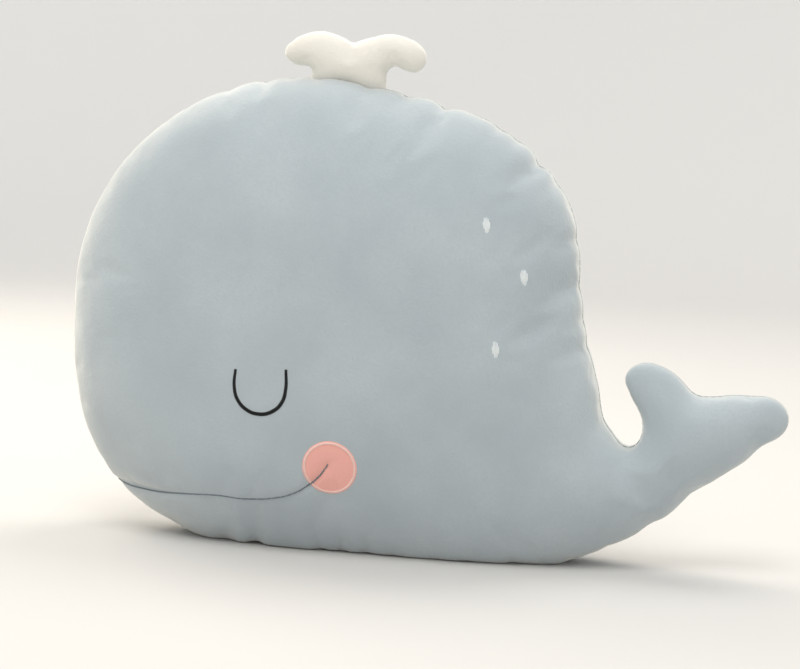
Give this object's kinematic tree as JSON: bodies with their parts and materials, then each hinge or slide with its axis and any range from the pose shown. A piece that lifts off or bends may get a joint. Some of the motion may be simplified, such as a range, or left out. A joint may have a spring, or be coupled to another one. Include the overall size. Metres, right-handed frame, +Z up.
{
  "type": "whale plush pillow",
  "caption": "Stuffed velour whale pillow standing on its flattened belly, with a bending lobed tail, a folding padded water spout and an embroidered sleeping face.",
  "frame": {"origin": "on the ground, under the middle of the whale's length and of its thickness", "axes": "+X from the nose towards the tail, +Y from the embroidered front towards the plain rear, +Z up"},
  "size_m": [0.4996, 0.14, 0.3513],
  "materials": {
    "velour": "grey-blue short-pile velour with a soft nap",
    "spout_velour": "off-white short-pile velour",
    "fibre_filling": "white polyester fibre",
    "seam_thread": "grey-blue sewing thread, dyed to match the velour",
    "slate_thread": "slate grey embroidery thread",
    "white_thread": "white satin-stitch thread",
    "black_thread": "black satin-stitch thread",
    "coral_felt": "coral felt patch",
    "coral_thread": "pale coral satin-stitch thread"
  },
  "bodies": {
    "body": {"body_front_cover": "velour", "body_rear_cover": "velour", "body_filling": "fibre_filling", "tail_root_front_cover": "velour", "tail_root_rear_cover": "velour", "tail_root_filling": "fibre_filling", "perimeter_seam_thread": "seam_thread", "closing_seam_thread": "seam_thread", "spout_tab": "spout_velour", "eye_stitch": "black_thread", "smile_stitch": "slate_thread", "cheek_patch": "coral_felt", "cheek_border_stitch": "coral_thread", "flank_mark_upper": "white_thread", "flank_mark_middle": "white_thread", "flank_mark_lower": "white_thread"},
    "tail": {"tail_front_cover": "velour", "tail_rear_cover": "velour", "tail_filling": "fibre_filling"},
    "spout": {"spout_front_cover": "spout_velour", "spout_rear_cover": "spout_velour", "spout_filling": "fibre_filling", "spout_seam_thread": "white_thread"}
  },
  "joints": [
    {"name": "tail_flex", "type": "hinge", "parent": "body", "child": "tail", "pos_m": [0.1443, 0, 0.05], "axis": [-0.129, 0, 0.9916], "range_deg": [-30, 30], "stiffness_Nm_per_rad": 0.5, "deforming": ["tail_root_front_cover", "tail_root_rear_cover", "tail_root_filling", "perimeter_seam_thread"]},
    {"name": "spout_fold", "type": "hinge", "parent": "body", "child": "spout", "pos_m": [-0.059, 0, 0.3194], "axis": [0.9937, 0, -0.1124], "range_deg": [-35, 35], "stiffness_Nm_per_rad": 0.05}
  ]
}
